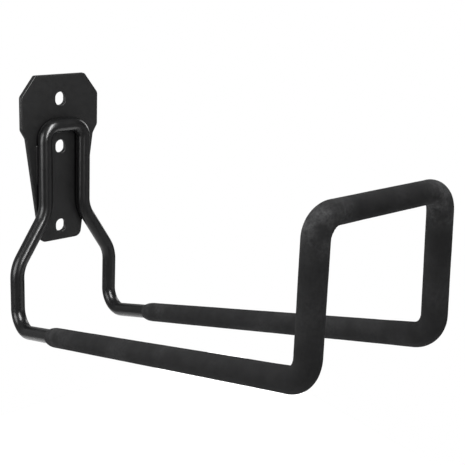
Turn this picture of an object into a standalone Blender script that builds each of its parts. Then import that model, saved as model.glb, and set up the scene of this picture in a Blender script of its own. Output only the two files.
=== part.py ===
"""Bicycle wall rack: a steel plate, a bent rod welded to it, and a foam sleeve over the arms and front loop.

Metres, +Z up. The wall is the plane Y = 0 and the rack stands out along -Y. The origin is on the plate's
back face, on its centreline, midway between the two upper screw holes. The rack is symmetric about X = 0,
and its left is at -X.
"""

from math import ceil, cos, pi, radians, sin, tan

import bmesh
import bpy
from mathutils import Vector

# Gap that touching pieces keep.
GAP = 0.0003

# Wall plate
PLATE_THICKNESS = 0.0035
PLATE_TOP = 0.0343
PLATE_FOOT = -0.0880
TOP_HALF_WIDTH = 0.0198
SHOULDER_HALF_WIDTH = 0.0306
SHOULDER_TOP = 0.0199
SHOULDER_FOOT = -0.0035
TAPER_HALF_WIDTH = 0.0270
TAPER_TOP = -0.0098
FOOT_HALF_WIDTH = 0.0166
PLATE_CORNER_RADIUS = 0.002
SHOULDER_RADIUS = 0.004
FOOT_CORNER_RADIUS = 0.005
PLATE_EDGE_ROUNDING = 0.0004
SCREW_SLOT_WIDTH = 0.0078
SCREW_SLOT_HEIGHT = 0.0098
SCREW_HEIGHTS = (0.0173, -0.0173, -0.0769)

# Bent rod, measured along its centreline
ROD_RADIUS = 0.005
LEG_HALF_SPACING = 0.0153
DROP_HALF_SPACING = 0.0388
ARM_HALF_SPACING = 0.0465
CROSSBAR_HALF_LENGTH = 0.0439
ARCH_HEIGHT = -0.0004
FLARE_TOP = -0.0637
FLARE_FOOT = -0.1016
DROP_FOOT = -0.1509
ARM_REACH = 0.3007
ARM_RISE = 0.0929
UPRIGHT_RISE = 0.0791
UPRIGHT_LEAN_BACK = 0.0054
ARCH_BEND = 0.0094
FLARE_BEND = 0.0266
DROP_BEND = 0.0136
ARM_BEND = 0.0158
CORNER_BEND = 0.011
BEND_STEP = radians(9)
ROD_PLANE = -(PLATE_THICKNESS + GAP + ROD_RADIUS)

# Clearance that the screw seats' own facets of the plate keep from the rod in front of them
SEAT_CLEARANCE = 0.0005

# Butt weld between the rod's two ends, in the middle of the crossbar
END_WELD_LENGTH = 0.002

# Weld beads along the outer sides of the legs, in the corner between rod and plate
BEAD_TOP = -0.014
BEAD_LENGTH = 0.030
BEAD_TOE = 0.0062
BEAD_LAP_ANGLES = (-66, -52, -38, -25)

# Foam sleeve
SLEEVE_RADIUS = 0.00675
SLEEVE_WALL = 0.0014
SLEEVE_START = 0.0512

# Sides of the round shapes: each quarter of a tube's section, each half of a slot's end, and the end weld
ROUND_RESOLUTION = 6
ROUND_STEPS = 12
END_WELD_SIDES = 24


def clear_scene():
    for obj in list(bpy.data.objects):
        bpy.data.objects.remove(obj, do_unlink=True)


def make_material(name, colour, roughness, metallic):
    material = bpy.data.materials.new(name)
    material.use_nodes = True
    shader = material.node_tree.nodes["Principled BSDF"]
    shader.inputs["Base Color"].default_value = (*colour, 1.0)
    shader.inputs["Roughness"].default_value = roughness
    shader.inputs["Metallic"].default_value = metallic
    return material


def add_object(name, data, material):
    obj = bpy.data.objects.new(name, data)
    bpy.context.collection.objects.link(obj)
    data.materials.append(material)
    return obj


def round_corners(corners, radii):
    """Points of the open path through the corners, each inner corner replaced by an arc of its radius."""
    points = [Vector(corners[0])]
    for before, corner, after, radius in zip(corners, corners[1:], corners[2:], radii):
        corner = Vector(corner)
        to_start = (Vector(before) - corner).normalized()
        to_end = (Vector(after) - corner).normalized()
        turn = pi - to_start.angle(to_end)
        setback = radius * tan(turn / 2)
        centre = corner + (to_start + to_end).normalized() * (radius / cos(turn / 2))
        spoke = corner + to_start * setback - centre
        steps = ceil(turn / BEND_STEP)
        for step in range(steps + 1):
            angle = turn * step / steps
            points.append(centre + spoke * cos(angle) - to_start * (radius * sin(angle)))
    points.append(Vector(corners[-1]))
    return points


def mirrored(corners):
    """The same points on the other side of the rack, in the opposite order."""
    return [(-x, y, z) for x, y, z in reversed(corners)]


def front_corners():
    """Corners of the front loop's right half, from the crossbar's middle back to the foot of the drop."""
    arm_front = ROD_PLANE - ARM_REACH
    crossbar = arm_front + UPRIGHT_LEAN_BACK
    crossbar_height = DROP_FOOT + ARM_RISE + UPRIGHT_RISE
    return [
        (0, crossbar, crossbar_height),
        (CROSSBAR_HALF_LENGTH, crossbar, crossbar_height),
        (ARM_HALF_SPACING, arm_front, DROP_FOOT + ARM_RISE),
        (DROP_HALF_SPACING, ROD_PLANE, DROP_FOOT),
    ]


def rod_path():
    half = front_corners() + [
        (DROP_HALF_SPACING, ROD_PLANE, FLARE_FOOT),
        (LEG_HALF_SPACING, ROD_PLANE, FLARE_TOP),
        (LEG_HALF_SPACING, ROD_PLANE, ARCH_HEIGHT),
    ]
    end = END_WELD_LENGTH / 2 + GAP
    half[0] = (end, *half[0][1:])
    bends = [CORNER_BEND, ARM_BEND, DROP_BEND, FLARE_BEND, FLARE_BEND, ARCH_BEND]
    return round_corners(half + mirrored(half), bends + bends[::-1])


def sleeve_path():
    half = front_corners()[1:]
    arm_front, arm_back = Vector(half[1]), Vector(half[2])
    half[2] = tuple(arm_back.lerp(arm_front, SLEEVE_START / ARM_REACH))
    bends = [CORNER_BEND, ARM_BEND]
    return round_corners(mirrored(half) + half, bends[::-1] + bends)


def add_tube(name, points, radius, capped, material):
    curve = bpy.data.curves.new(name, "CURVE")
    curve.dimensions = "3D"
    curve.bevel_depth = radius
    curve.bevel_resolution = ROUND_RESOLUTION
    curve.use_fill_caps = capped
    spline = curve.splines.new("POLY")
    spline.points.add(len(points) - 1)
    for spline_point, point in zip(spline.points, points):
        spline_point.co = (*point, 1.0)
    return add_object(name, curve, material)


def arc_around(x, z, radius, start, end, steps):
    angles = [start + (end - start) * step / steps for step in range(steps + 1)]
    return [(x + radius * cos(angle), z + radius * sin(angle)) for angle in angles]


def plate_outline():
    """The plate's outline as (x, z) points, with each corner rounded."""
    half = [
        (0, PLATE_TOP, 0),
        (TOP_HALF_WIDTH, PLATE_TOP, PLATE_CORNER_RADIUS),
        (SHOULDER_HALF_WIDTH, SHOULDER_TOP, SHOULDER_RADIUS),
        (SHOULDER_HALF_WIDTH, SHOULDER_FOOT, SHOULDER_RADIUS),
        (TAPER_HALF_WIDTH, TAPER_TOP, SHOULDER_RADIUS),
        (FOOT_HALF_WIDTH, PLATE_FOOT, FOOT_CORNER_RADIUS),
        (0, PLATE_FOOT, 0),
    ]
    corners = [(x, 0, z) for x, z, _ in half]
    right = round_corners(corners, [radius for _, _, radius in half[1:-1]])
    left = [Vector((-p.x, p.y, p.z)) for p in reversed(right)]
    return [(p.x, p.z) for p in right[:-1] + left[:-1]]


def extruded(name, outline, back, depth):
    """A mesh of the (x, z) outline, from y = back, depth deep towards -Y."""
    mesh = bpy.data.meshes.new(name)
    shape = bmesh.new()
    face = shape.faces.new([shape.verts.new((x, back, z)) for x, z in outline])
    grown = bmesh.ops.extrude_face_region(shape, geom=[face])
    moved = [item for item in grown["geom"] if isinstance(item, bmesh.types.BMVert)]
    bmesh.ops.translate(shape, verts=moved, vec=(0, -depth, 0))
    bmesh.ops.recalc_face_normals(shape, faces=shape.faces)
    shape.to_mesh(mesh)
    shape.free()
    return mesh


def add_screw_cutter(index, height):
    """A round-ended upright slot through the plate."""
    radius = SCREW_SLOT_WIDTH / 2
    reach = SCREW_SLOT_HEIGHT / 2 - radius
    outline = arc_around(0, height + reach, radius, 0, pi, ROUND_STEPS)
    outline += arc_around(0, height - reach, radius, pi, 2 * pi, ROUND_STEPS)
    mesh = extruded(f"screw_cutter_{index}", outline, PLATE_THICKNESS, 3 * PLATE_THICKNESS)
    cutter = bpy.data.objects.new(mesh.name, mesh)
    bpy.context.collection.objects.link(cutter)
    cutter.hide_render = True
    cutter.display_type = "WIRE"
    return cutter


def part_screw_seats(mesh):
    """Cuts the plate's faces just inside the legs and just above and below the arch, removing nothing."""
    clear = ROD_RADIUS + SEAT_CLEARANCE
    cuts = [
        ((LEG_HALF_SPACING - clear, 0, 0), (1, 0, 0)),
        ((clear - LEG_HALF_SPACING, 0, 0), (1, 0, 0)),
        ((0, 0, ARCH_HEIGHT + clear), (0, 0, 1)),
        ((0, 0, ARCH_HEIGHT - clear), (0, 0, 1)),
    ]
    shape = bmesh.new()
    shape.from_mesh(mesh)
    for point, normal in cuts:
        geometry = shape.verts[:] + shape.edges[:] + shape.faces[:]
        bmesh.ops.bisect_plane(shape, geom=geometry, plane_co=point, plane_no=normal)
    shape.to_mesh(mesh)
    shape.free()


def add_wall_plate(material):
    mesh = extruded("wall_plate", plate_outline(), 0, PLATE_THICKNESS)
    part_screw_seats(mesh)
    plate = add_object("wall_plate", mesh, material)
    rounding = plate.modifiers.new("edge_rounding", "BEVEL")
    rounding.width = PLATE_EDGE_ROUNDING
    rounding.segments = 2
    rounding.angle_limit = radians(60)
    for index, height in enumerate(SCREW_HEIGHTS):
        cut = plate.modifiers.new(f"screw_slot_{index}", "BOOLEAN")
        cut.operation = "DIFFERENCE"
        cut.object = add_screw_cutter(index, height)
    return plate


def bead_section():
    """The bead's section as (outward, forward) distances from the rod's centre."""
    reach = ROD_RADIUS + 1.2 * GAP
    lap = [(reach * cos(angle), reach * sin(angle)) for angle in map(radians, BEAD_LAP_ANGLES)]
    root = (lap[0][0], -ROD_RADIUS)
    toe = (BEAD_TOE, -ROD_RADIUS)
    return [root] + lap + [toe]


def add_leg_weld(name, side, material):
    mesh = bpy.data.meshes.new(name)
    shape = bmesh.new()
    section = [
        shape.verts.new((side * (LEG_HALF_SPACING + out), ROD_PLANE - forward, BEAD_TOP))
        for out, forward in bead_section()
    ]
    grown = bmesh.ops.extrude_face_region(shape, geom=[shape.faces.new(section)])
    moved = [item for item in grown["geom"] if isinstance(item, bmesh.types.BMVert)]
    bmesh.ops.translate(shape, verts=moved, vec=(0, 0, -BEAD_LENGTH))
    bmesh.ops.recalc_face_normals(shape, faces=shape.faces)
    shape.to_mesh(mesh)
    shape.free()
    return add_object(name, mesh, material)


def add_rod_end_weld(material):
    mesh = bpy.data.meshes.new("rod_end_weld")
    shape = bmesh.new()
    bmesh.ops.create_cone(
        shape,
        cap_ends=True,
        segments=END_WELD_SIDES,
        radius1=ROD_RADIUS,
        radius2=ROD_RADIUS,
        depth=END_WELD_LENGTH,
    )
    shape.to_mesh(mesh)
    shape.free()
    weld = add_object("rod_end_weld", mesh, material)
    weld.location = front_corners()[0]
    weld.rotation_euler = (0, radians(90), 0)
    return weld


def add_foam_sleeve(material):
    sleeve = add_tube("foam_sleeve", sleeve_path(), SLEEVE_RADIUS, False, material)
    wall = sleeve.modifiers.new("wall", "SOLIDIFY")
    wall.thickness = SLEEVE_WALL
    wall.offset = -1
    return sleeve


def main():
    clear_scene()
    coat = make_material("black_powder_coat", (0.012, 0.012, 0.013), 0.34, 0.0)
    foam = make_material("black_foam", (0.022, 0.022, 0.023), 0.92, 0.0)
    steel = make_material("bare_weld_steel", (0.32, 0.31, 0.30), 0.45, 1.0)
    add_wall_plate(coat)
    add_tube("bent_rod", rod_path(), ROD_RADIUS, True, coat)
    add_rod_end_weld(steel)
    add_leg_weld("leg_weld_left", -1, coat)
    add_leg_weld("leg_weld_right", 1, coat)
    add_foam_sleeve(foam)


main()
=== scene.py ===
"""Looks of the bicycle wall rack: coated bar and plate, weld beads, foam sleeve, floor, camera, lights.

Metres, in the CAD model's own frame: the wall is the plane Y = 0, the rack stands out along -Y, +Z is up.
"""

from bisect import bisect_right
from math import ceil, cos, pi, radians, sin, sqrt, tan

import bmesh
import bpy
from mathutils import Matrix, Vector, noise


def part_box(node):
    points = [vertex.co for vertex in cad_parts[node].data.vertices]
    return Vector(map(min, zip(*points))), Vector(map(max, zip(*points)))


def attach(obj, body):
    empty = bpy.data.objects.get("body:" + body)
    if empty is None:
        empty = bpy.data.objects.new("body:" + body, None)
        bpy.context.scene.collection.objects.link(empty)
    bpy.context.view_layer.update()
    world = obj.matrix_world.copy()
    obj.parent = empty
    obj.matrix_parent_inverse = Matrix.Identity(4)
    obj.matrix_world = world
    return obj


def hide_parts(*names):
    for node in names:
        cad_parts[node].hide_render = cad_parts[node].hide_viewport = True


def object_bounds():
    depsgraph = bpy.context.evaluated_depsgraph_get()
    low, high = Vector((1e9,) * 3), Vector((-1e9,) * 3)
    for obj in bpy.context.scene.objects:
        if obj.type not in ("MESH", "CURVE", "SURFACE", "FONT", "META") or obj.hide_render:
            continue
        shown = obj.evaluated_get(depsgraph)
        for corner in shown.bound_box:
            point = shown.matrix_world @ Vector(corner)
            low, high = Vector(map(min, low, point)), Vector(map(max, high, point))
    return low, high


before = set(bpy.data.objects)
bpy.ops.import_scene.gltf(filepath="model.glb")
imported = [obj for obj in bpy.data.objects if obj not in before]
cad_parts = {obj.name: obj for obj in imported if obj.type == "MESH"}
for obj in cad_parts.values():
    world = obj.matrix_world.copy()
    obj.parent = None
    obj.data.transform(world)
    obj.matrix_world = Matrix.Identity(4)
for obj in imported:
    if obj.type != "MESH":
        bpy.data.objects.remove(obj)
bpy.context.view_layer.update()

# Measures read from the frame
END_WELD_LOW, END_WELD_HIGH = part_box("rod_end_weld")
PLATE_LOW, PLATE_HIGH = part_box("wall_plate")
ROD_RADIUS = (END_WELD_HIGH.z - END_WELD_LOW.z) / 2
ROD_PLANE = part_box("bent_rod")[1].y - ROD_RADIUS

# The rod's route: the corners of its right half, as in the CAD model, and the radius of each bend
LEG_HALF_SPACING = 0.0153
DROP_HALF_SPACING = 0.0388
ARM_HALF_SPACING = 0.0465
CROSSBAR_HALF_LENGTH = 0.0439
ARCH_HEIGHT = -0.0004
FLARE_TOP = -0.0637
FLARE_FOOT = -0.1016
DROP_FOOT = -0.1509
ARM_REACH = 0.3007
ARM_RISE = 0.0929
UPRIGHT_RISE = 0.0791
UPRIGHT_LEAN_BACK = 0.0054
CORNER_BEND = 0.011
ARM_BEND = 0.0158
DROP_BEND = 0.0136
FLARE_BEND = 0.0266
ARCH_BEND = 0.0094
BEND_STEP = radians(3)
RUN_STEP = 0.002

# The rod's skin. A bend of FLATTENING_BEND or tighter is flattened in full, and bulges at its sides.
# Unevenness, here and for the foam, is pairs of height and waves per metre.
ROD_SIDES = 56
ROD_RING_STEP = 0.0012
ROD_FLATTENING = 0.03
FLATTENING_BULGE = 0.4
FLATTENING_BEND = 0.016
ROD_UNEVENNESS = ((0.000008, 45), (0.0000032, 160))

# Wall plate
TOP_HALF_WIDTH = 0.0198
SHOULDER_TOP = 0.0199
SHOULDER_FOOT = -0.0035
TAPER_HALF_WIDTH = 0.0270
TAPER_TOP = -0.0098
FOOT_HALF_WIDTH = 0.0166
PLATE_CORNER_RADIUS = 0.002
SHOULDER_RADIUS = 0.004
FOOT_CORNER_RADIUS = 0.005
PLATE_CORNER_STEP = radians(6)
FRONT_ROUNDING = 0.0007
BACK_ROUNDING = 0.0003
ROUNDING_STEPS = 5
SLOT_LIP = 0.0004
SLOT_WIDTH = 0.0078
SLOT_HEIGHT = 0.0098
SLOT_HEIGHTS = (0.0173, -0.0173, -0.0769)
SLOT_ARC_STEPS = 20

# Weld beads. The root and the size at the ends are shares, of the rod's radius and of the full section.
BEAD_TOP = -0.0145
BEAD_LENGTH = 0.029
BEAD_RING_STEP = 0.0003
BEAD_SECTION_STEPS = 12
BEAD_LAP = radians(-52)
BEAD_TOE = 0.0053
BEAD_ROOT = 0.7
BEAD_SINK = 0.0003
BEAD_SWELL = 0.00012
BEAD_ARCH = 0.0006
BEAD_RIPPLE = 0.0017
RIPPLE_POWER = 0.7
BEAD_WANDER = 0.0001
WANDER_RATE = 260
WANDER_APART = 3.1
BEAD_END_SIZE = 0.35
BEAD_END_POWER = 3

# Foam sleeve
SLEEVE_START = 0.0512
SLEEVE_TAPER = 0.0085
SLEEVE_TAPER_POWER = 2.3
SLEEVE_BORE_CLEARANCE = 0.0002
SLEEVE_RING_STEP = 0.001
FOAM_SIDES = 72
LIP_WALL = 0.0003
LIP_STEPS = ((0.0, 0.00025), (0.0003, 0.0))
ARM_FOAM_RADIUS = 0.00675
UPRIGHT_FOAM_RADIUS = 0.0069
UPRIGHT_BLEND = 0.03
CROSSBAR_FOAM_RADIUS = 0.0062
CROSSBAR_FOAM_LIFT = 0.0003
CROSSBAR_BLEND = 0.010
CROSSBAR_BLEND_MARGIN = 0.002
FOAM_PINCH = 0.00012
PINCH_SPACING = 0.0034
FOAM_UNEVENNESS = ((0.00007, 60), (0.00003, 240))
# The foam is scuffed paler at its two top corners, and made paler and mottled towards its wall ends.
CORNER_WEAR_REACH = 0.022
END_PALENESS_REACH = 0.05
END_PALENESS = 0.45

# Colours, dark and light, and the span where almost all of a noise texture's values lie
COAT_COLOURS = ((0.0045, 0.0045, 0.0048), (0.0070, 0.0070, 0.0073))
FOAM_COLOURS = ((0.0175, 0.0175, 0.0179), (0.0225, 0.0225, 0.0230))
SCUFF_COLOUR = (0.085, 0.085, 0.0865)
STEEL_COLOURS = ((0.30, 0.29, 0.28), (0.46, 0.45, 0.44))
NOISE_SPAN = (0.3, 0.7)

# Studio
FLOOR_DROP = 0.9
FLOOR_REACH = 1.3
FLOOR_GREY = 0.9
FLOOR_GLOW = 0.85
BRIGHT_SIDE = (-0.5, 0.1, 0.8)
DARKEST_WORLD = 0.12
BRIGHTEST_WORLD = 0.8
LIT_POINT = (0, -0.05, -0.06)

# Camera
CAMERA_PLACE = (-0.3259, -0.5729, 0.1421)
CAMERA_YAW = 0.71466
CAMERA_PITCH = -0.32505
CAMERA_ROLL = 0.05906
CAMERA_LENS = 71.15


# ---------------------------------------------------------------- routes and sweeps


def round_corners(corners, radii, bend_step=BEND_STEP):
    """Points of the open path through the corners, each inner corner replaced by an arc of its radius."""
    points = [Vector(corners[0])]
    for before, corner, after, radius in zip(corners, corners[1:], corners[2:], radii):
        corner = Vector(corner)
        to_start = (Vector(before) - corner).normalized()
        to_end = (Vector(after) - corner).normalized()
        turn = pi - to_start.angle(to_end)
        setback = radius * tan(turn / 2)
        centre = corner + (to_start + to_end).normalized() * (radius / cos(turn / 2))
        spoke = corner + to_start * setback - centre
        steps = ceil(turn / bend_step)
        for step in range(steps + 1):
            angle = turn * step / steps
            points.append(centre + spoke * cos(angle) - to_start * (radius * sin(angle)))
    points.append(Vector(corners[-1]))
    return points


def mirrored(corners):
    """The same points on the other side of the rack, in the opposite order."""
    return [(-x, y, z) for x, y, z in reversed(corners)]


class Route:
    """A centreline with a frame that doesn't twist, read by the distance along it."""

    def __init__(self, points):
        self.points = [points[0]]
        for point in points[1:]:
            start = self.points[-1]
            steps = max(1, ceil((point - start).length / RUN_STEP))
            self.points += [start.lerp(point, step / steps) for step in range(1, steps + 1)]
        self.reach = [0.0]
        for a, b in zip(self.points, self.points[1:]):
            self.reach.append(self.reach[-1] + (b - a).length)
        self.length = self.reach[-1]
        last = len(self.points) - 1
        neighbours = [(self.points[max(i - 1, 0)], self.points[min(i + 1, last)]) for i in range(last + 1)]
        self.tangents = [(after - before).normalized() for before, after in neighbours]
        self.sides = [self.tangents[0].orthogonal().normalized()]
        for tangent in self.tangents[1:]:
            side = self.sides[-1]
            self.sides.append((side - tangent * side.dot(tangent)).normalized())
        self.bends = [Vector()] * (last + 1)
        for i in range(1, last):
            gap = (self.points[i + 1] - self.points[i - 1]).length / 2
            self.bends[i] = (self.tangents[i + 1] - self.tangents[i - 1]) / (2 * gap)

    def at(self, distance):
        """Centre, side, second side and bend, which points to the bend's inside with length 1 / radius."""
        low = min(max(bisect_right(self.reach, distance) - 1, 0), len(self.points) - 2)
        share = (distance - self.reach[low]) / (self.reach[low + 1] - self.reach[low])
        centre = self.points[low].lerp(self.points[low + 1], share)
        tangent = self.tangents[low].lerp(self.tangents[low + 1], share).normalized()
        side = self.sides[low].lerp(self.sides[low + 1], share)
        side = (side - tangent * side.dot(tangent)).normalized()
        return centre, side, tangent.cross(side), self.bends[low].lerp(self.bends[low + 1], share)


def lofted(name, rings, closed):
    """A mesh through rings of equal size: joined last to first if closed, and capped at its ends if not."""
    size = len(rings[0])
    count = len(rings)
    vertices = [point for ring in rings for point in ring]
    faces = []
    for row in range(count if closed else count - 1):
        low, high = row * size, (row + 1) % count * size
        faces += [(low + i, low + (i + 1) % size, high + (i + 1) % size, high + i) for i in range(size)]
    if not closed:
        faces += [tuple(reversed(range(size))), tuple(range((count - 1) * size, count * size))]
    mesh = bpy.data.meshes.new(name)
    mesh.from_pydata(vertices, [], faces)
    shape = bmesh.new()
    shape.from_mesh(mesh)
    bmesh.ops.recalc_face_normals(shape, faces=shape.faces)
    shape.to_mesh(mesh)
    shape.free()
    mesh.shade_smooth()
    return mesh


def spokes(side, other, count):
    """Unit vectors all round a ring that lies across the route."""
    for i in range(count):
        angle = 2 * pi * i / count
        yield side * cos(angle) + other * sin(angle)


def unevenness(point, waves):
    """Smooth noise at a point, summed over pairs of height and waves per metre."""
    return sum(height * noise.noise(point * rate) for height, rate in waves)


def clamped(value):
    return min(1.0, max(0.0, value))


def add_piece(name, mesh, material, node):
    """Puts a mesh in the scene in place of the CAD node. The whole rack is one body."""
    piece = bpy.data.objects.new(name, mesh)
    bpy.context.scene.collection.objects.link(piece)
    mesh.materials.append(material)
    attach(piece, "root")
    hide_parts(node)
    return piece


# ---------------------------------------------------------------- routes of the rack


def front_corners():
    """Corners of the right half's front: mid crossbar, crossbar end, arm's front end, foot of the drop."""
    arm_front = ROD_PLANE - ARM_REACH
    crossbar = arm_front + UPRIGHT_LEAN_BACK
    crossbar_height = DROP_FOOT + ARM_RISE + UPRIGHT_RISE
    return [
        (0, crossbar, crossbar_height),
        (CROSSBAR_HALF_LENGTH, crossbar, crossbar_height),
        (ARM_HALF_SPACING, arm_front, DROP_FOOT + ARM_RISE),
        (DROP_HALF_SPACING, ROD_PLANE, DROP_FOOT),
    ]


def rod_route():
    """The bar's centreline, from the end weld's right face round the loop to its left face."""
    half = front_corners() + [
        (DROP_HALF_SPACING, ROD_PLANE, FLARE_FOOT),
        (LEG_HALF_SPACING, ROD_PLANE, FLARE_TOP),
        (LEG_HALF_SPACING, ROD_PLANE, ARCH_HEIGHT),
    ]
    half[0] = (END_WELD_HIGH.x, *half[0][1:])
    bends = [CORNER_BEND, ARM_BEND, DROP_BEND, FLARE_BEND, FLARE_BEND, ARCH_BEND]
    return Route(round_corners(half + mirrored(half), bends + bends[::-1]))


def sleeve_route():
    """The sleeve's centreline, from its wall end on the left arm to its wall end on the right arm."""
    half = front_corners()[1:]
    arm_front, arm_back = Vector(half[1]), Vector(half[2])
    half[2] = tuple(arm_back.lerp(arm_front, SLEEVE_START / ARM_REACH))
    bends = [CORNER_BEND, ARM_BEND]
    return Route(round_corners(mirrored(half) + half, bends[::-1] + bends))


# ---------------------------------------------------------------- pieces


def rod_offset(point, normal, bend):
    """How far the bar's skin stands off its round: flatter across each bend, and nowhere perfectly even."""
    tightness = min(1.0, bend.length * FLATTENING_BEND)
    inward = normal.dot(bend.normalized()) ** 2 if tightness else 0.0
    flattening = ROD_FLATTENING * tightness * (FLATTENING_BULGE - inward) * ROD_RADIUS
    return flattening + unevenness(point, ROD_UNEVENNESS)


def add_rod(material):
    route = rod_route()
    count = ceil(route.length / ROD_RING_STEP)
    rings = []
    for row in range(count + 1):
        centre, side, other, bend = route.at(route.length * row / count)
        ring = []
        for normal in spokes(side, other, ROD_SIDES):
            skin = centre + normal * ROD_RADIUS
            ring.append(skin + normal * rod_offset(skin, normal, bend))
        rings.append(ring)
    return add_piece("bar", lofted("bar", rings, False), material, "bent_rod")


def plate_outline():
    """The plate's outline as (x, z) points, anticlockwise seen from the room, with each corner rounded."""
    half = [
        (0, PLATE_LOW.z, 0),
        (FOOT_HALF_WIDTH, PLATE_LOW.z, FOOT_CORNER_RADIUS),
        (TAPER_HALF_WIDTH, TAPER_TOP, SHOULDER_RADIUS),
        (PLATE_HIGH.x, SHOULDER_FOOT, SHOULDER_RADIUS),
        (PLATE_HIGH.x, SHOULDER_TOP, SHOULDER_RADIUS),
        (TOP_HALF_WIDTH, PLATE_HIGH.z, PLATE_CORNER_RADIUS),
        (0, PLATE_HIGH.z, 0),
    ]
    corners = [(x, 0, z) for x, z, _ in half]
    right = round_corners(corners, [radius for _, _, radius in half[1:-1]], PLATE_CORNER_STEP)
    left = [Vector((-p.x, p.y, p.z)) for p in reversed(right)]
    return [(p.x, p.z) for p in right[:-1] + left[:-1]]


def slot_outline(height):
    """An upright slot's outline as (x, z) points, anticlockwise: an arc at the top, then one at the foot."""
    radius = SLOT_WIDTH / 2
    reach = SLOT_HEIGHT / 2 - radius
    outline = []
    for middle, start in ((height + reach, 0), (height - reach, pi)):
        for step in range(SLOT_ARC_STEPS + 1):
            angle = start + pi * step / SLOT_ARC_STEPS
            outline.append((radius * cos(angle), middle + radius * sin(angle)))
    return outline


def inset(outline, distance):
    """An anticlockwise outline moved inwards by that distance, point by point."""
    moved = []
    for i, (x, z) in enumerate(outline):
        before = outline[i - 1]
        after = outline[(i + 1) % len(outline)]
        along_a = Vector((x - before[0], z - before[1])).normalized()
        along_b = Vector((after[0] - x, after[1] - z)).normalized()
        inward = Vector((-along_a.y - along_b.y, along_a.x + along_b.x))
        inward = inward / (inward.length_squared / 2)
        moved.append((x + inward.x * distance, z + inward.y * distance))
    return moved


def edge_rings(outline, thickness, front_rounding, back_rounding, sign):
    """Loops from the back face's edge round to the front face's edge, each as points in space."""
    angles = [pi / 2 * step / ROUNDING_STEPS for step in range(ROUNDING_STEPS + 1)]
    loops = [(back_rounding * (1 - sin(a)), back_rounding * (1 - cos(a))) for a in angles]
    loops += [(front_rounding * (1 - cos(a)), thickness - front_rounding * (1 - sin(a))) for a in angles]
    return [[(x, -depth, z) for x, z in inset(outline, sign * inward)] for inward, depth in loops]


def add_plate(material):
    """The plate, with its screw slots cut through and its stamped edges rounded."""
    thickness = PLATE_HIGH.y - PLATE_LOW.y
    shape = bmesh.new()
    front_edges, back_edges = [], []
    walls = [edge_rings(plate_outline(), thickness, FRONT_ROUNDING, BACK_ROUNDING, 1)]
    for height in SLOT_HEIGHTS:
        walls.append(edge_rings(slot_outline(height), thickness, SLOT_LIP, SLOT_LIP, -1))
    for rings in walls:
        rows = [[shape.verts.new(point) for point in ring] for ring in rings]
        for lower, upper in zip(rows, rows[1:]):
            for i in range(len(lower)):
                j = (i + 1) % len(lower)
                shape.faces.new((lower[i], lower[j], upper[j], upper[i]))
        for row, edges in ((rows[0], back_edges), (rows[-1], front_edges)):
            edges += [shape.edges.get((row[i], row[(i + 1) % len(row)])) for i in range(len(row))]
    for edges in (front_edges, back_edges):
        bmesh.ops.triangle_fill(shape, use_beauty=True, edges=edges)
    bmesh.ops.recalc_face_normals(shape, faces=shape.faces)
    mesh = bpy.data.meshes.new("backplate")
    shape.to_mesh(mesh)
    shape.free()
    mesh.shade_smooth()
    plate = add_piece("backplate", mesh, material, "wall_plate")
    weighted = plate.modifiers.new("flat_faces_stay_flat", "WEIGHTED_NORMAL")
    weighted.weight = 100
    weighted.keep_sharp = True
    return plate


def add_bead(name, side, node, material):
    """A slim fillet weld in the corner between leg and plate: low ripples, drawn out thin at both ends.

    Its section is laid out away from the leg's axis and forward of it, and side mirrors it.
    """
    lap_edge = Vector((ROD_RADIUS * cos(BEAD_LAP), ROD_RADIUS * sin(BEAD_LAP)))
    toe = Vector((BEAD_TOE, -ROD_RADIUS - BEAD_SINK))
    root = Vector((BEAD_ROOT * ROD_RADIUS, -ROD_RADIUS - BEAD_SINK))
    outward = Vector((lap_edge.y - toe.y, toe.x - lap_edge.x)).normalized()
    rings = []
    rows = ceil(BEAD_LENGTH / BEAD_RING_STEP)
    for row in range(rows + 1):
        share = row / rows
        travel = share * BEAD_LENGTH
        ripple = abs(sin(pi * travel / BEAD_RIPPLE)) ** RIPPLE_POWER
        wander = BEAD_WANDER * noise.noise(Vector((side * WANDER_APART, 0, travel * WANDER_RATE)))
        fullness = sqrt(1 - abs(2 * share - 1) ** BEAD_END_POWER)
        size = BEAD_END_SIZE + (1 - BEAD_END_SIZE) * fullness
        section = []
        for i in range(BEAD_SECTION_STEPS + 1):
            across = i / BEAD_SECTION_STEPS
            hump = sin(pi * across)
            swell = BEAD_SWELL * (1 + ripple) * hump
            skin = lap_edge.lerp(toe, across) + outward * (swell + wander)
            section.append((*root.lerp(skin, size), BEAD_ARCH * hump))
        section.append((*root, 0.0))
        rings.append(
            [
                (side * (LEG_HALF_SPACING + out), ROD_PLANE - forward, BEAD_TOP - travel - arch)
                for out, forward, arch in section
            ]
        )
    return add_piece(name, lofted(name, rings, False), material, node)


def foam_radius(centre):
    """The foam's outer radius at a point of its route, and how much of the crossbar's that is."""
    _, crossbar, foot, _ = map(Vector, front_corners())
    up = clamped((centre.z - foot.z) / (crossbar.z - foot.z))
    in_front = clamped((ROD_PLANE - centre.y - ARM_REACH + UPRIGHT_BLEND) / UPRIGHT_BLEND)
    radius = ARM_FOAM_RADIUS + (UPRIGHT_FOAM_RADIUS - ARM_FOAM_RADIUS) * in_front
    inside_corner = CROSSBAR_HALF_LENGTH - CROSSBAR_BLEND_MARGIN - abs(centre.x)
    across = clamped(inside_corner / CROSSBAR_BLEND) * up
    return radius + (CROSSBAR_FOAM_RADIUS - radius) * across, across


def foam_wear_and_paleness(centre, from_end):
    """How much paler and mottled the foam is made there, 0 to 1: scuffing at the two top corners, and
    paleness towards its wall ends.
    """
    _, corner, _, _ = map(Vector, front_corners())
    from_corner = (Vector((abs(centre.x), centre.y, centre.z)) - corner).length
    at_corner = clamped(1 - from_corner / CORNER_WEAR_REACH)
    return max(at_corner, END_PALENESS * clamped(1 - from_end / END_PALENESS_REACH))


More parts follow.
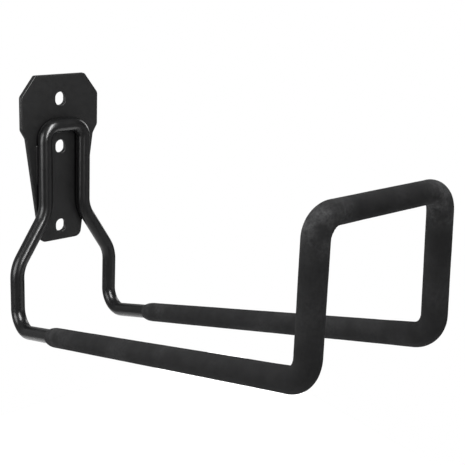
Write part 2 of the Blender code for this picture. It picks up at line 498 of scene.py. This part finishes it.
def sleeve_rows(route):
    """The sleeve's rings: (distance, radius, share of the crossbar, scuffing and end paleness, whether it is
    on the outside).

    They run along the outside, over the far lip, back through the bore and over the first lip.
    """
    bore = ROD_RADIUS + SLEEVE_BORE_CLEARANCE
    lip = bore + LIP_WALL
    outside = []
    count = ceil(route.length / SLEEVE_RING_STEP)
    for row in range(count + 1):
        distance = route.length * row / count
        centre = route.at(distance)[0]
        full, across = foam_radius(centre)
        from_end = min(distance, route.length - distance)
        radius = lip + (full - lip) * (1 - clamped(1 - from_end / SLEEVE_TAPER) ** SLEEVE_TAPER_POWER)
        outside.append((distance, radius, across, foam_wear_and_paleness(centre, from_end), True))
    lining = [(route.length - along, bore + out) for along, out in LIP_STEPS]
    lining += [(distance, bore) for distance, *_ in reversed(outside[1:-1:2])]
    lining += [(along, bore + out) for along, out in reversed(LIP_STEPS)]
    return outside + [(distance, radius, 0.0, 0.0, False) for distance, radius in lining]


def foam_offset(point, normal, bend, distance):
    """How far the foam's skin stands off its round: pinched inside each bend, and softly lumpy."""
    tightness = min(1.0, bend.length * CORNER_BEND)
    inward = max(0.0, normal.dot(bend.normalized())) if tightness else 0.0
    pinch = FOAM_PINCH * tightness * inward**2 * cos(2 * pi * distance / PINCH_SPACING)
    return pinch + unevenness(point, FOAM_UNEVENNESS)


def add_sleeve(material):
    """The sleeve, with its corner scuffing and the paleness towards its wall ends in a point attribute,
    which the foam material reads.
    """
    route = sleeve_route()
    rings, wear_and_paleness = [], []
    for distance, radius, across, scuffing_and_paleness, outside in sleeve_rows(route):
        centre, side, other, bend = route.at(distance)
        lift = Vector((0, 0, CROSSBAR_FOAM_LIFT * across))
        ring = []
        for normal in spokes(side, other, FOAM_SIDES):
            point = centre + normal * radius
            if outside:
                point += normal * foam_offset(point, normal, bend, distance) + lift
            ring.append(point)
        rings.append(ring)
        wear_and_paleness += [scuffing_and_paleness] * FOAM_SIDES
    mesh = lofted("foam", rings, True)
    mesh.attributes.new("wear_and_paleness", "FLOAT", "POINT").data.foreach_set("value", wear_and_paleness)
    sleeve = add_piece("foam", mesh, material, "foam_sleeve")
    return sleeve


# ---------------------------------------------------------------- materials


def new_material(name):
    """A material, its node tree, and the shader in it."""
    material = bpy.data.materials.new(name)
    material.use_nodes = True
    return material, material.node_tree, material.node_tree.nodes["Principled BSDF"]


def add_node(tree, kind, **settings):
    """A node in a tree. Each setting is an input's value, or else a property of the node."""
    node = tree.nodes.new(kind)
    for key, value in settings.items():
        if key in node.inputs:
            node.inputs[key].default_value = value
        else:
            setattr(node, key, value)
    return node


def join(source, target):
    """Links an output socket to an input socket of the same tree."""
    source.id_data.links.new(source, target)


def noise_of(tree, scale, detail, roughness=0.5):
    """Noise of that many features a metre, in the object's own metres."""
    coordinates = add_node(tree, "ShaderNodeTexCoord")
    texture = add_node(tree, "ShaderNodeTexNoise", Scale=scale, Detail=detail, Roughness=roughness)
    join(coordinates.outputs["Object"], texture.inputs["Vector"])
    return texture.outputs["Fac"]


def cells_of(tree, scale):
    """Distances to the middles of random cells, that many of them a metre."""
    coordinates = add_node(tree, "ShaderNodeTexCoord")
    texture = add_node(tree, "ShaderNodeTexVoronoi", Scale=scale)
    join(coordinates.outputs["Object"], texture.inputs["Vector"])
    return texture.outputs["Distance"]


def tinted(tree, source, colours):
    """A dark and a light colour, blended by a noise."""
    node = add_node(tree, "ShaderNodeValToRGB")
    for element, position, colour in zip(node.color_ramp.elements, NOISE_SPAN, colours):
        element.position = position
        element.color = (*colour, 1)
    join(source, node.inputs["Fac"])
    return node.outputs["Color"]


def spread(tree, source, low, high, span=NOISE_SPAN):
    """Values from low to high as the source goes over the span."""
    node = add_node(tree, "ShaderNodeMapRange")
    for name, value in zip(("From Min", "From Max", "To Min", "To Max"), (*span, low, high)):
        node.inputs[name].default_value = value
    join(source, node.inputs["Value"])
    return node.outputs["Result"]


def combined(tree, operation, first, second):
    node = add_node(tree, "ShaderNodeMath", operation=operation)
    join(first, node.inputs[0])
    join(second, node.inputs[1])
    return node.outputs["Value"]


def bump(tree, source, height, strength, before=None):
    """A bump of that height in metres, on top of an earlier one."""
    node = add_node(tree, "ShaderNodeBump", Distance=height, Strength=strength)
    join(source, node.inputs["Height"])
    if before:
        join(before, node.inputs["Normal"])
    return node.outputs["Normal"]


def powder_coat(name, specular, glossiest, dullest):
    """Satin black powder coat: faint orange peel, slightly uneven gloss and a dusting of finer grain."""
    material, tree, shader = new_material(name)
    shader.inputs["Specular IOR Level"].default_value = specular
    colour = tinted(tree, noise_of(tree, scale=55, detail=3), COAT_COLOURS)
    join(colour, shader.inputs["Base Color"])
    gloss = noise_of(tree, scale=240, detail=4, roughness=0.6)
    join(spread(tree, gloss, glossiest, dullest), shader.inputs["Roughness"])
    peel = bump(tree, noise_of(tree, scale=700, detail=2), height=0.00001, strength=0.03)
    fine = noise_of(tree, scale=3600, detail=2)
    grain = bump(tree, fine, height=0.000004, strength=0.015, before=peel)
    join(grain, shader.inputs["Normal"])
    return material


def foam():
    """Matt closed-cell foam: fine cells, soft mottling, paler scuffs at its top corners and here and there,
    and paler mottling towards its wall ends.
    """
    material, tree, shader = new_material("black_foam")
    shader.inputs["Specular IOR Level"].default_value = 0.0
    shader.inputs["Sheen Weight"].default_value = 0.02
    shader.inputs["Sheen Roughness"].default_value = 0.5
    skin_colour = tinted(tree, noise_of(tree, scale=130, detail=5, roughness=0.6), FOAM_COLOURS)
    # A point attribute: scuffing at the top corners, and paleness towards the wall ends.
    wear_and_paleness = add_node(tree, "ShaderNodeAttribute", attribute_name="wear_and_paleness").outputs["Fac"]
    patches = spread(tree, noise_of(tree, scale=90, detail=2), 0.1, 1.0, span=(0.34, 0.60))
    stray = spread(tree, noise_of(tree, scale=26, detail=2), 0.0, 0.2, span=(0.48, 0.72))
    scuffing_and_paleness = combined(tree, "MAXIMUM", combined(tree, "MULTIPLY", wear_and_paleness, patches), stray)
    flecks = noise_of(tree, scale=520, detail=4, roughness=0.7)
    specks = spread(tree, flecks, 0.25, 1.0, span=(0.34, 0.66))
    colour = add_node(tree, "ShaderNodeMixRGB", Color2=(*SCUFF_COLOUR, 1))
    join(combined(tree, "MULTIPLY", scuffing_and_paleness, specks), colour.inputs["Fac"])
    join(skin_colour, colour.inputs["Color1"])
    join(colour.outputs["Color"], shader.inputs["Base Color"])
    roughness = spread(tree, noise_of(tree, scale=700, detail=3), 0.80, 0.95)
    join(roughness, shader.inputs["Roughness"])
    dimples = noise_of(tree, scale=420, detail=3, roughness=0.6)
    skin = bump(tree, dimples, height=0.00012, strength=0.5)
    cells = bump(tree, cells_of(tree, scale=2300), height=0.0001, strength=0.5, before=skin)
    join(cells, shader.inputs["Normal"])
    return material


def weld_steel():
    """Bare steel, dressed with a grinding disc: bright, with a fine scratchy grain."""
    material, tree, shader = new_material("dressed_weld_steel")
    shader.inputs["Metallic"].default_value = 1.0
    scratches = noise_of(tree, scale=1500, detail=4, roughness=0.7)
    join(tinted(tree, scratches, STEEL_COLOURS), shader.inputs["Base Color"])
    join(spread(tree, scratches, 0.30, 0.50), shader.inputs["Roughness"])
    join(bump(tree, scratches, height=0.00003, strength=0.5), shader.inputs["Normal"])
    return material


# ---------------------------------------------------------------- studio


def add_floor():
    """A pale square floor below the rack, bright enough to melt into the white surround."""
    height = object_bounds()[0].z - FLOOR_DROP
    corners = [(x * FLOOR_REACH, y * FLOOR_REACH, height) for x, y in ((-1, -1), (1, -1), (1, 1), (-1, 1))]
    mesh = bpy.data.meshes.new("floor")
    mesh.from_pydata(corners, [], [(0, 1, 2, 3)])
    floor = bpy.data.objects.new("floor", mesh)
    bpy.context.scene.collection.objects.link(floor)
    material, _, shader = new_material("pale_floor")
    shader.inputs["Base Color"].default_value = (FLOOR_GREY, FLOOR_GREY, FLOOR_GREY, 1)
    shader.inputs["Roughness"].default_value = 0.9
    shader.inputs["Emission Color"].default_value = (1, 1, 1, 1)
    shader.inputs["Emission Strength"].default_value = FLOOR_GLOW
    mesh.materials.append(material)


def add_light(name, bearing, height, distance, size, power, glossy=True, diffuse=True):
    """A soft box of (width, height) that faces the rack.

    Its bearing goes from +Y towards +X and its height is above level, both in degrees.
    """
    data = bpy.data.lights.new(name, "AREA")
    data.shape = "RECTANGLE"
    data.size, data.size_y = size
    data.energy = power
    light = bpy.data.objects.new(name, data)
    bearing, height = radians(bearing), radians(height)
    towards = Vector((sin(bearing) * cos(height), cos(bearing) * cos(height), sin(height)))
    light.location = Vector(LIT_POINT) + towards * distance
    light.rotation_euler = towards.to_track_quat("Z", "Y").to_euler()
    light.visible_camera = False
    light.visible_glossy = glossy
    light.visible_diffuse = diffuse
    bpy.context.scene.collection.objects.link(light)
    return light


def shade_from(light, pieces):
    """Keeps the light off the pieces, as a flag on a stand would."""
    shaded = bpy.data.collections.new("shaded_from_" + light.name)
    for piece in pieces:
        shaded.objects.link(piece)
    for member in shaded.collection_objects:
        member.light_linking.link_state = "EXCLUDE"
    light.light_linking.receiver_collection = shaded


def add_world():
    """A soft world, brightest towards one side: white behind the rack, and darker in its reflections."""
    world = bpy.data.worlds.new("studio")
    world.use_nodes = True
    bpy.context.scene.world = world
    tree = world.node_tree
    background = tree.nodes["Background"]
    background.inputs["Color"].default_value = (1, 1, 1, 1)
    direction = add_node(tree, "ShaderNodeTexCoord")
    towards = add_node(tree, "ShaderNodeVectorMath", operation="DOT_PRODUCT")
    towards.inputs[1].default_value = Vector(BRIGHT_SIDE).normalized()
    join(direction.outputs["Generated"], towards.inputs[0])
    strength = add_node(tree, "ShaderNodeMapRange")
    strength.inputs["From Min"].default_value = -1.0
    strength.inputs["To Min"].default_value = DARKEST_WORLD
    strength.inputs["To Max"].default_value = BRIGHTEST_WORLD
    join(towards.outputs["Value"], strength.inputs["Value"])
    seen = add_node(tree, "ShaderNodeLightPath").outputs["Is Camera Ray"]
    shown = combined(tree, "MAXIMUM", seen, strength.outputs["Result"])
    join(shown, background.inputs["Strength"])


def add_lights(bar, plate, beads):
    left_box = add_light("left_box", -92, 4, 1.5, size=(0.80, 0.90), power=50, diffuse=False)
    shade_from(left_box, [plate] + beads)
    edge_box = add_light("edge_box", -60, 4, 1.5, size=(0.30, 0.75), power=45, diffuse=False)
    shade_from(edge_box, [bar] + beads)
    add_light("front_strip", -170, 31, 2.0, size=(0.50, 2.4), power=430, diffuse=False)
    add_light("right_box", 130, -12, 2.0, size=(1.8, 1.2), power=6.5, diffuse=False)
    add_light("low_right", 132, -50, 0.8, size=(0.60, 0.50), power=4, diffuse=False)
    add_light("back_right", 68, 15, 1.5, size=(0.5, 0.8), power=8, diffuse=False)
    add_light("back_left", -45, 35, 2.0, size=(1.2, 1.2), power=16, glossy=False)
    add_light("top_box", -150, 75, 1.6, size=(1.0, 1.0), power=24, glossy=False)


def add_camera():
    data = bpy.data.cameras.new("camera")
    data.lens = CAMERA_LENS
    data.sensor_width = 36
    data.clip_start = 0.01
    camera = bpy.data.objects.new("camera", data)
    bpy.context.scene.collection.objects.link(camera)
    level = Vector((cos(CAMERA_YAW), -sin(CAMERA_YAW), 0))
    ahead = Vector((sin(CAMERA_YAW), cos(CAMERA_YAW), 0))
    forward = ahead * cos(CAMERA_PITCH) + Vector((0, 0, sin(CAMERA_PITCH)))
    upright = level.cross(forward)
    right = level * cos(CAMERA_ROLL) + upright * sin(CAMERA_ROLL)
    up = upright * cos(CAMERA_ROLL) - level * sin(CAMERA_ROLL)
    turn = Matrix((right, up, -forward)).transposed()
    camera.matrix_world = Matrix.LocRotScale(Vector(CAMERA_PLACE), turn, None)
    bpy.context.scene.camera = camera
    bpy.context.scene.view_settings.view_transform = "Standard"


def main():
    add_camera()
    bar = add_rod(powder_coat("rod_coat", specular=0.125, glossiest=0.27, dullest=0.31))
    plate_coat = powder_coat("plate_coat", specular=0.105, glossiest=0.38, dullest=0.45)
    plate = add_plate(plate_coat)
    beads = [
        add_bead("bead_left", -1, "leg_weld_left", plate_coat),
        add_bead("bead_right", 1, "leg_weld_right", plate_coat),
    ]
    add_sleeve(foam())
    end_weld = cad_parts["rod_end_weld"]
    end_weld.data.materials.clear()
    end_weld.data.materials.append(weld_steel())
    add_floor()
    add_world()
    add_lights(bar, plate, beads)


main()
